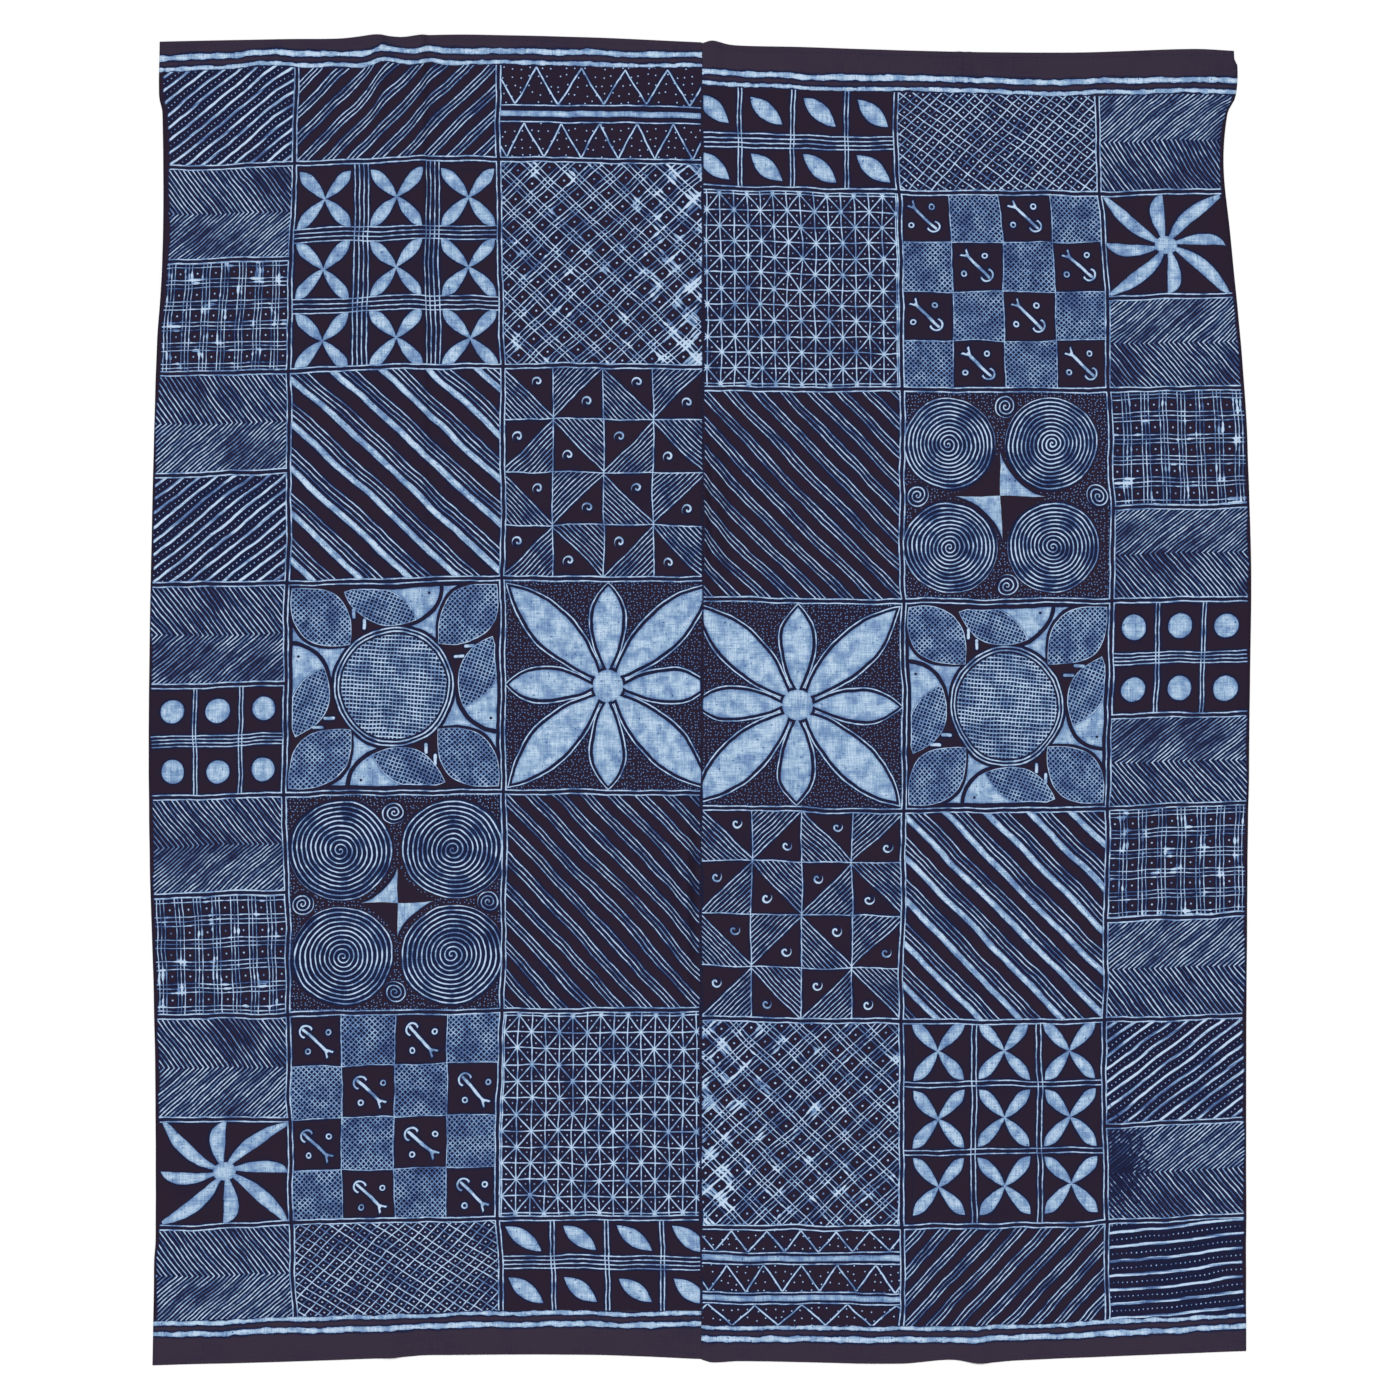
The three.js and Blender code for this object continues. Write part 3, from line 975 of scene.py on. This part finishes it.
SHAFT_MIDDLE = 1.0
SHAFT_HALF = 24.0
SHAFT_PLUMPNESS = 0.7
PRONG_START = 21.0
PRONG_SLOPE = 0.55
PRONG_SQUEEZE = 0.87
PRONG_MIDDLE = 26.0
PRONG_HALF = 4.5
ANCHOR_PLACE = (-18.0, 0.0)
ANCHOR_REACH = 9.0
ANCHOR_END = -15.0
RING_PLACES = [(21.0, 10.5), (-11.0, -17.5)]
RING_RADIUS = 3.5


def checkerboard(square, count=4, edge_line=1.6):
    """Cross-hatched squares between bare ones that hold an arrow with an anchor end and two rings."""
    x, y, column, row, edge = square.checks(square.width / count, square.height / count)
    hatched = 1.0 - abs(column - row)
    net = square.net(*square.turned(46.0), pitch=5.5, thickness=1.8)
    along, off = along_and_across(x, y, -45.0)
    shaft = short_bar(off, along - SHAFT_MIDDLE, SHAFT_HALF) - SHAFT_PLUMPNESS
    beside_prongs = abs(abs(off) - (along - PRONG_START) * PRONG_SLOPE) * PRONG_SQUEEZE
    prongs = beside_prongs.most(abs(along - PRONG_MIDDLE) - PRONG_HALF)
    anchor = abs(distance_from(ANCHOR_PLACE, along, off) - ANCHOR_REACH).most(along - ANCHOR_END)
    first_ring, second_ring = [distance_from(place, x, y) for place in RING_PLACES]
    rings = square.stroke(abs(first_ring.least(second_ring) - RING_RADIUS), 2.4)
    arrow = square.stroke(shaft.least(prongs, anchor), 2.9).most(rings) * edge.spread(2.0, 4.0)
    return hatched.choose(arrow, net).most(square.stroke(edge, edge_line) * 0.9)


def star_lattice(square, wide=20.5, tall=24.2, line=1.9,
                 star=5.6, taper=20.0, dot=2.4, dot_place=(0.7, 0.3)):
    """A grid with every second crossing made an eight-armed star, and a dot in each triangle."""
    x = square.paint.math("PINGPONG", square.u / wide, 1.0)
    y = square.paint.math("PINGPONG", square.v / tall, 1.0)
    uprights = x.least(1.0 - x) * wide
    bars = y.least(1.0 - y) * tall
    slants = abs(x - y) * (wide * tall / math.hypot(wide, tall))
    lines = square.stroke(uprights.least(bars, slants), line)
    stars = square.fill(star - ((x + y).fold(2.0) + abs(x - y)) * taper)
    dots = square.dot((x.most(y) - dot_place[0]) * wide, (x.least(y) - dot_place[1]) * tall, dot)
    return lines.most(stars, dots)


def trellis(square, pitch=12.6, falling_slope=-34.5, rising_slope=45.0, line=1.8, dot=2.8):
    falling = square.turned(falling_slope)[1].fold(pitch)
    rising = square.turned(rising_slope)[1].fold(pitch)
    falling_lines = square.stroke(falling, line, square.streaks(falling_slope))
    rising_lines = square.stroke(rising, line, square.streaks(rising_slope))
    return falling_lines.most(rising_lines, square.dot(pitch / 2 - falling, pitch / 2 - rising, dot))


def seeds(square, wide=82.0, tall=80.0, shift=72.0, slant=-37.0,
          upright_off=2.6, bar_gaps=(6.4, 3.2), line=1.9):
    """Four by two slanted seeds, with two lines between columns and four between the rows."""
    x = (square.u + shift).wrap(wide) - wide / 2
    y = square.v.wrap(tall) - tall / 2
    along, off = along_and_across(x, y, slant)
    shapes = square.fill(petal(along, off, belly=0.0, beyond=31.5, before=31.5, half_width=12.4))
    uprights = square.stroke(abs(wide / 2 - abs(x) - upright_off), line)
    bars = square.stroke(doubled(abs(square.v - 3.0) - bar_gaps[0], bar_gaps[1]), line)
    return shapes.most(uprights, bars)


def border(square, inner_at=4.2, inner_half=3.0, outer_at=21.0, outer_half=4.0, paleness=1.14):
    """The plain end of the cloth, with two broad pale lines beside the painted squares."""
    fray_period = 16.0
    fray_reach = 5.0
    frayed = (square.noise(fray_period, 4.0) - 0.5) * fray_reach
    inner_line = inner_half - abs(square.v - inner_at)
    outer_line = outer_half - abs(square.v - outer_at)
    return square.fill(inner_line.most(outer_line) + frayed) * paleness


def underside(square):
    """The back of the cloth, where the starch didn't reach: soaked through in soft deep blue."""
    return square.dye.spread(0.3, 0.7, 0.04, 0.34)


ZIGZAG_TWO_ROWS = [(41.0, 55.0, 64.0, -4.0), (-41.0, 53.0, 54.5, 28.0)]
ZIGZAG_THREE_ROWS = [(58.0, 31.0, 70.0, 0.0), (3.0, 40.0, 55.5, 0.0), (-53.0, 31.0, 52.0, 0.0)]
WIDE_BANDS = dict(block=(109.0, 106.0), petals_at=(0.5, -7.0), bands_at=(2.0, -7.0), band=6.8)
NARROW_BANDS = dict(block=(101.0, 101.0), petals_at=(-2.0, -8.0), bands_at=(-6.0, -9.0), band=0.0)
SPIRALS_LEFT = dict(shift=3.0, offset=80.0, large=74.5, pitch=6.9, star_reach=54.0, side=-1.0)
SPIRALS_RIGHT = dict(shift=9.0, offset=77.0, large=69.0, pitch=6.1, star_reach=68.0, side=1.0)
OBLIQUE_TRIPLES = dict(slope=45.0, pitch=27.4, spacing=5.4, line=1.65)
NARROW_TRIPLES = dict(slope=-46.0, pitch=30.0, spacing=5.8, line=1.6)
BROAD_LEFT = dict(slope=-44.0, repeat=48.6, side=1.0)
BROAD_RIGHT = dict(slope=-44.5, repeat=45.1, side=-1.0)

# Each motif: its strip, its nominal height, which of its ends lies open at a border, its painter,
# and what the painter is told where it has more than one use
MOTIFS = {
    "dotted_diagonals": ("side", 156.0, 0, dotted_diagonals, {}),
    "dotted_stripes": ("side", 146.0, 0, dotted_diagonals, dict(slope=3.0, pitch=20.6)),
    "herringbone": ("side", 145.0, 0, herringbone, {}),
    "plaid": ("side", 170.0, 0, plaid, {}),
    "discs": ("side", 169.0, 0, discs, {}),
    "twisted_flower": ("side", 160.0, 0, twisted_flower, {}),
    "oblique_triples": ("middle", 143.0, 1, triple_diagonals, OBLIQUE_TRIPLES),
    "four_petals_wide_bands": ("middle", 311.0, 0, four_petals, WIDE_BANDS),
    "four_petals_narrow_bands": ("middle", 305.0, 0, four_petals, NARROW_BANDS),
    "broad_diagonals_left": ("middle", 318.0, 0, broad_diagonals, BROAD_LEFT),
    "broad_diagonals_right": ("middle", 316.0, 0, broad_diagonals, BROAD_RIGHT),
    "sunflower_and_birds": ("middle", 315.0, 0, sunflower_and_birds, {}),
    "spirals_left": ("middle", 329.0, 0, spirals, SPIRALS_LEFT),
    "spirals_right": ("middle", 316.0, 0, spirals, SPIRALS_RIGHT),
    "checkerboard": ("middle", 305.0, 0, checkerboard, {}),
    "trellis": ("middle", 145.0, -1, trellis, {}),
    "zigzag_two_rows": ("seam", 142.0, 1, zigzag, dict(rows=ZIGZAG_TWO_ROWS)),
    "zigzag_three_rows": ("seam", 147.0, 1, zigzag, dict(rows=ZIGZAG_THREE_ROWS)),
    "diagonal_lattice": ("seam", 310.0, 0, diagonal_lattice, {}),
    "pinwheels": ("seam", 319.0, 0, pinwheels, {}),
    "eight_petal_flower": ("seam", 318.0, 0, eight_petal_flower, {}),
    "narrow_triples": ("seam", 322.0, 0, triple_diagonals, NARROW_TRIPLES),
    "star_lattice": ("seam", 306.0, 0, star_lattice, {}),
    "seeds": ("seam", 142.0, -1, seeds, {}),
    "border": ("side", 1.0, 0, border, {}),
    "underside": ("side", 1.0, 0, underside, {}),
}
FRAME_INSET = 3.3
FRAME_WIDTH = 2.0
FRAME_FADE = 1.4
WORN_EDGE = (-0.5, 2.5)
WORN_RAGGED = 4.0
SEWN_EDGE = (0.8, 2.8, 0.15, 1.0)
THREAD_PERIOD = 2.0
SLUB_LENGTH = 24.0
GRAIN_IN_GROUND = 0.07
GRAIN_IN_STARCH = 0.22
DYE_MIDDLE = 0.45
DYE_UNEVENNESS = 0.12
CLOTH_ROUGHNESS = 0.86
STARCH_ROUGHNESS = 0.08
CLOTH_GLOSS = 0.06
BUMP_STRENGTH = 0.22
BUMP_DISTANCE = 0.0004


def cotton_grain(square):
    """Fine uneven warp and weft threads, as a height round one."""
    heights = []
    for stretch in ((THREAD_PERIOD, SLUB_LENGTH, 1.0), (SLUB_LENGTH, THREAD_PERIOD, 1.0)):
        scale = tuple(1.0 / (period * MM) for period in stretch)
        heights.append(square.noise_at(square.vector("MULTIPLY", square.place, scale), 1.0, 1.0))
    return heights[0] + heights[1]


def framed(square, strip, open_end, starch):
    """The painting cut off at the pale line that frames its square, and worn or sewn at its free side."""
    half_width = square.width / 2
    half_height = square.height / 2
    across = {
        "side": half_width - square.u,
        "middle": half_width - abs(square.u),
        "seam": half_width + square.u,
    }[strip]
    upward = {
        -1: half_height - square.v,
        0: half_height - abs(square.v),
        1: half_height + square.v,
    }[open_end]
    rim = across.least(upward)
    inside = starch * rim.spread(FRAME_INSET, FRAME_INSET + FRAME_FADE)
    result = inside.most(square.stroke(abs(rim - FRAME_INSET), FRAME_WIDTH))
    if strip == "side":
        worn_edge = square.u + half_width - square.ragged * WORN_RAGGED
        result = result * worn_edge.spread(*WORN_EDGE)
    if strip == "seam":
        result = result * (half_width - square.u).spread(*SEWN_EDGE)
    return result


def bare_material(name):
    """A new material with an empty node tree."""
    material = bpy.data.materials.new(name)
    material.use_nodes = True
    material.node_tree.nodes.clear()
    return material


def cotton_surface(paint, tones, level, roughness, gloss, relief):
    """Dull cotton: a dye level turned into colour, over the fine relief that the threads give it; on the
    thread the level is its twist's height instead, as painted shade and highlight.
    """
    stops = [(position, linear(tone)) for position, tone in tones]
    colour = paint.node("ShaderNodeValToRGB", {"stops": stops}, {0: level})
    bump = paint.node("ShaderNodeBump", {}, relief)
    surface = {"Base Color": colour, "Roughness": roughness, "Normal": bump, "Specular IOR Level": gloss}
    shader = paint.node("ShaderNodeBsdfPrincipled", {}, surface)
    paint.node("ShaderNodeOutputMaterial", {}, {"Surface": shader})


def dyed_cotton(name):
    """The material of one kind of square: its starch pattern, turned into dye colour and nap."""
    made = bpy.data.materials.get("indigo_" + name)
    if made:
        return made
    material = bare_material("indigo_" + name)
    strip, height, open_end, painter, told = MOTIFS[name]
    square = Square(material.node_tree, STRIP_WIDTHS[strip], height)
    starch = painter(square, **told)
    if name not in ("border", "underside"):
        starch = framed(square, strip, open_end, starch)
    grain = cotton_grain(square)
    weave = (grain - 1.0) * (starch * GRAIN_IN_STARCH + GRAIN_IN_GROUND)
    level = starch + weave + (square.dye - DYE_MIDDLE) * DYE_UNEVENNESS
    tones = [(0.0, MARGIN_PLUM if name == "border" else GROUND_PLUM)] + DYE_TONES
    roughness = CLOTH_ROUGHNESS + starch * STARCH_ROUGHNESS
    relief = {"Strength": BUMP_STRENGTH, "Distance": BUMP_DISTANCE, "Height": grain}
    cotton_surface(square.paint, tones, level, roughness, CLOTH_GLOSS, relief)
    return material


# The thread's two tones are painted shade and a painted highlight, set by the height of its twist
THREAD_SHADE_TO_HIGHLIGHT = [(0.35, (24, 27, 50)), (0.65, (58, 66, 100))]
THREAD_TWIST = 0.9
THREAD_ROUGHNESS = 0.8
THREAD_GLOSS = 0.1
THREAD_BUMP_STRENGTH = 0.4
THREAD_BUMP_DISTANCE = 0.0002
STITCH_SIDES = 8
STITCH_RINGS = 5
STITCH_LENGTH_CHANGE = 0.15
HEM_STITCH_PITCH = 7.0
HEM_STITCH_INSET = 7.4
HEM_STITCH_ENDS = 12.0
HEM_STITCH_RISE = 0.1
HEM_STITCHES = {"Stitch Length": 0.0042, "Thread Thickness": 0.0007, "Unevenness": 0.12, "Seed": 3}


def indigo_thread():
    """Two-ply cotton sewing thread, dyed with the cloth, with painted shade low in its twist and a
    painted highlight on top of it.
    """
    material = bare_material("indigo_thread")
    thread = Field(material.node_tree)
    place = thread.node("ShaderNodeTexCoord", {}, {}, "Object")
    sockets = {"Vector": place, "Scale": 1.0 / (THREAD_TWIST * MM), "Detail": 2.0}
    twist = thread.node("ShaderNodeTexNoise", {}, sockets)
    relief = {"Strength": THREAD_BUMP_STRENGTH, "Distance": THREAD_BUMP_DISTANCE, "Height": twist}
    # The colour follows the twist's height: painted shade low down and a painted highlight on top
    cotton_surface(thread, THREAD_SHADE_TO_HIGHLIGHT, twist, THREAD_ROUGHNESS, THREAD_GLOSS, relief)
    return material


def stitch_pattern():
    """Stitches on points: each a short plump thread, turned as its point says and a little unevenly."""
    tree = bpy.data.node_groups.new("hand_stitches", "GeometryNodeTree")
    inputs = {
        "Points": "NodeSocketGeometry",
        "Stitch Length": "NodeSocketFloat",
        "Thread Thickness": "NodeSocketFloat",
        "Unevenness": "NodeSocketFloat",
        "Seed": "NodeSocketInt",
        "Thread": "NodeSocketMaterial",
    }
    for name, kind in inputs.items():
        tree.interface.new_socket(name=name, in_out="INPUT", socket_type=kind)
    tree.interface.new_socket(name="Stitches", in_out="OUTPUT", socket_type="NodeSocketGeometry")
    sewing = Field(tree)
    group_input = tree.nodes.new("NodeGroupInput")
    given = {name: Field(tree, group_input.outputs[name]) for name in inputs}
    shape = {"Segments": STITCH_SIDES, "Rings": STITCH_RINGS, "Radius": 0.5}
    plump = sewing.node("GeometryNodeMeshUVSphere", {}, shape, "Mesh")
    attribute = {"data_type": "FLOAT"}
    turn = sewing.node("GeometryNodeInputNamedAttribute", attribute, {"Name": "turn"}, "Attribute")
    chance = sewing.node("FunctionNodeRandomValue", attribute, {2: -1.0, 3: 1.0, 8: given["Seed"]}, 1)
    uneven_turn = turn + chance * given["Unevenness"]
    angles = sewing.node("ShaderNodeCombineXYZ", {}, {2: uneven_turn})
    rotation = sewing.node("FunctionNodeEulerToRotation", {}, {0: angles})
    uneven_length = given["Stitch Length"] * (1.0 + chance * STITCH_LENGTH_CHANGE)
    thickness = given["Thread Thickness"]
    size = sewing.node("ShaderNodeCombineXYZ", {}, {0: uneven_length, 1: thickness, 2: thickness})
    places = {"Points": given["Points"], "Instance": plump, "Rotation": rotation, "Scale": size}
    instances = sewing.node("GeometryNodeInstanceOnPoints", {}, places)
    realized = sewing.node("GeometryNodeRealizeInstances", {}, {0: instances})
    threaded = {"Geometry": realized, "Material": given["Thread"]}
    finished = sewing.node("GeometryNodeSetMaterial", {}, threaded)
    sewing.node("NodeGroupOutput", {}, {0: finished})
    return tree


stitch_tree = stitch_pattern()
thread_material = indigo_thread()


def sew(name, places, turns, sizes):
    """Stitches at places in millimetres, as a plain mesh that goes with the cloth."""
    points = bpy.data.meshes.new(name + "_places")
    points.from_pydata((places * MM).tolist(), [], [])
    points.attributes.new("turn", "FLOAT", "POINT").data.foreach_set("value", turns)
    stitches = bpy.data.objects.new(name, points)
    studio.collection.objects.link(stitches)
    sewing = stitches.modifiers.new("sewing", "NODES")
    sewing.node_group = stitch_tree
    for socket in stitch_tree.interface.items_tree:
        if socket.name in sizes:
            sewing[socket.identifier] = sizes[socket.name]
        if socket.name == "Thread":
            sewing[socket.identifier] = thread_material
    evaluated = stitches.evaluated_get(bpy.context.evaluated_depsgraph_get())
    sewn = bpy.data.meshes.new_from_object(evaluated)
    stitches.modifiers.remove(sewing)
    stitches.data = sewn
    sewn.polygons.foreach_set("use_smooth", np.ones(len(sewn.polygons), bool))
    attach(stitches, "root")
    return stitches


def sew_hems(panel):
    """Running stitches that hold down the narrow hems at both ends of the panel."""
    upright, cross = panel_lines(panel)
    places = []
    turns = []
    for line, inward in ((cross[0], -1), (cross[-1], 1)):
        end = float(line(0.0))
        start_x = upright[0](end) + HEM_STITCH_ENDS
        stop_x = upright[-1](end) - HEM_STITCH_ENDS
        x = np.arange(start_x, stop_x, HEM_STITCH_PITCH)
        y = line(x) + inward * HEM_STITCH_INSET
        z = top_height(panel, x, y) + HEM_STITCH_RISE
        places.append(np.stack([x, y, z], axis=1))
        turns.append(np.arctan(np.gradient(y, x)))
    name = panel["name"] + "_hem_stitches"
    return sew(name, np.concatenate(places), np.concatenate(turns), HEM_STITCHES)


def lay_panel(panel):
    """The finished panel: its sheet, painted and dyed, in place of the plain solid."""
    cloth = bpy.data.objects.new(panel["name"] + "_cloth", sheet_mesh(panel))
    studio.collection.objects.link(cloth)
    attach(cloth, "root")
    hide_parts(panel["name"])
    sew_hems(panel)


lay_panel(LEFT_PANEL)

# The right length: the same shirting, painted with the same squares, but turned end for end before
# it was sewn on. Its outer edge is rolled under near the top and shows a plain selvedge there.
RIGHT_PANEL = {
    "name": "panel_right",
    "side": 1,
    "edge": [
        (-997, 819), (-600, 819), (-250, 821), (50, 825), (210, 826.2), (470, 816), (700, 795),
        (800, 785), (880, 791), (905, 803), (950, 806), (962, 801), (997, 801),
    ],
    "selvedge": [
        (-997, 3), (-560, 3), (-100, 3), (250, 3), (420, 3), (560, 5), (700, 6), (790, 5),
        (850, 3), (900, 3), (930, 16), (997, 14),
    ],
    "side_line": [
        (-931, 609.5), (-824, 610), (-572, 606), (-451, 607), (-233, 610), (-106, 612.5), (-1, 615),
        (143, 618), (239, 620), (365, 616), (539, 612), (673, 607), (779, 598), (917, 595.5),
    ],
    "middle_line": [
        (-901, 302), (-545, 301.5), (-301, 304), (-11, 306), (149, 304), (545, 302), (734, 299),
        (779, 295), (917, 295.5),
    ],
    "rows": [
        [(3, 985), (18, 988), (50, 982), (150, 979), (380, 972), (570, 971), (740, 976), (802, 973)],
        [(3, 920.5), (142, 915), (270, 911.5), (405, 909), (517, 905.5), (615, 906), (720, 908.5),
         (795, 907)],
        [(3, 769), (142, 765), (294, 762), (420, 760.5), (595, 760), (772, 762)],
        [(3, 604), (300, 602), (612, 602), (798, 607)],
        [(3, 467), (300, 465), (480, 464), (611, 466), (813, 468)],
        [(3, 287), (300, 287), (624, 289), (813, 291)],
        [(3, 152), (142, 148.5), (303, 148), (610, 149), (822, 152.5)],
        [(3, -26), (300, -26), (621, -24.5), (822, -21)],
        [(3, -161), (303, -166), (516, -165), (611, -163), (819, -155)],
        [(3, -333), (300, -331), (611, -328.5), (816, -321.5)],
        [(3, -476.5), (142, -480.5), (300, -482), (516, -482), (607, -480.5), (816, -473)],
        [(3, -640), (300, -640), (611, -638), (813, -629)],
        [(3, -790), (294, -791), (450, -788), (595, -784), (813, -773)],
        [(3, -937), (300, -938), (465, -936), (610, -929), (813, -918)],
        [(3, -989), (18, -993), (60, -991), (300, -995), (375, -989), (420, -994), (475, -990),
         (819, -976)],
    ],
    "folds": [
        ("first storage crease", "seam", 387, 985, 330, 7, 12, 2.4),
        ("second storage crease", "seam", 400, 985, 330, 7, 8, 2.2),
        ("crease at the bottom", "seam", 418, -990, 280, 20, 34, 5),
        ("pucker at the seam, upper", "seam", 15, 287, 210, 28, 14, 13),
        ("pucker at the seam, top", "seam", 18, 990, 130, 18, 16, 4),
        ("rolled edge", "edge", 16, 720, 230, 16, 15, 5),
    ],
    "waves": [(420, 110, 70, 3), (-120, 90, 60, 3), (-760, 100, 60, 3)],
    "fine_columns": [0.29, 0.314, 0.32, 0.335, 0.342, 0.356, 0.363],
    "side_motifs": [
        "herringbone", "twisted_flower", "herringbone", "plaid", "herringbone", "discs",
        "herringbone", "plaid", "herringbone", "dotted_diagonals", "herringbone", "dotted_stripes",
    ],
    "middle_motifs": [
        "trellis", "checkerboard", "spirals_right", "sunflower_and_birds", "broad_diagonals_right",
        "four_petals_narrow_bands", "oblique_triples",
    ],
    "seam_motifs": [
        "seeds", "star_lattice", "narrow_triples", "eight_petal_flower", "pinwheels",
        "diagonal_lattice", "zigzag_three_rows",
    ],
}

lay_panel(RIGHT_PANEL)

# The seam: the two lengths lie edge to edge and are whipped together by hand with dark cotton thread,
# in small slanting stitches that bridge the dip between the two selvedges.
SEAM_STITCH_PITCH = 6.2
SEAM_STITCH_ENDS = (-980.0, 979.0)
SEAM_STITCH_RISE = 0.5
SEAM_STITCH_SLANT = math.radians(20.0)
SEAM_STITCHES = {"Stitch Length": 0.0052, "Thread Thickness": 0.0007, "Unevenness": 0.14, "Seed": 8}

seam_y = np.arange(*SEAM_STITCH_ENDS, SEAM_STITCH_PITCH)
seam_x = seam_line(seam_y)
seam_z = top_height(LEFT_PANEL, seam_x, seam_y) + SEAM_STITCH_RISE
seam_places = np.stack([seam_x, seam_y, seam_z], axis=1)
sew("seam_stitches", seam_places, np.full(seam_y.size, SEAM_STITCH_SLANT), SEAM_STITCHES)
